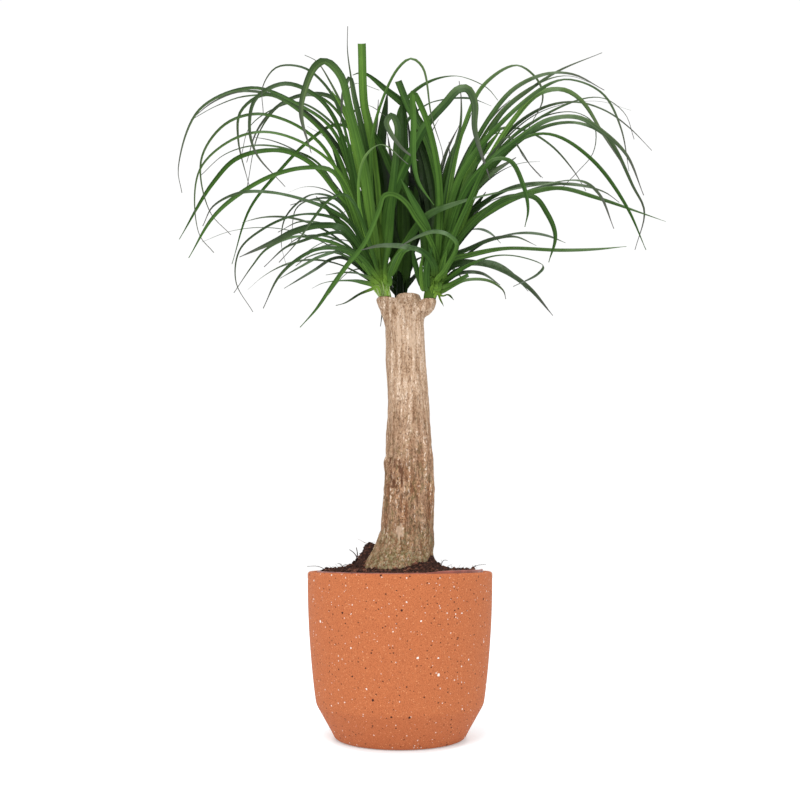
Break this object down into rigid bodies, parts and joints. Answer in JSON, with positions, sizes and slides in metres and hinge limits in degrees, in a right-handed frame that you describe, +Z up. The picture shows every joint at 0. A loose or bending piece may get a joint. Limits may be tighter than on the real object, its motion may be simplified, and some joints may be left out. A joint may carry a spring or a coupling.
{
  "type": "potted ponytail palm",
  "caption": "Ponytail palm with a thick sawn trunk and arching strap leaves in leafy heads, in a nursery pot inside a speckled round pot with a chamfered foot.",
  "frame": {"origin": "centre of the flat underside of the outer pot", "axes": "+Z up along the pot's axis, -Y towards the front, +X to the right seen from the front"},
  "size_m": [0.5506, 0.4734, 0.774],
  "materials": {
    "pot": "matte",
    "nursery_pot": "satin",
    "soil": "matte",
    "bark": "matte",
    "leaf": "satin"
  },
  "bodies": {
    "root": {"pot": "pot", "nursery_pot": "nursery_pot", "soil": "soil", "trunk": "bark", "crown_left": "leaf", "crown_right": "leaf", "crown_back": "leaf"}
  },
  "joints": []
}
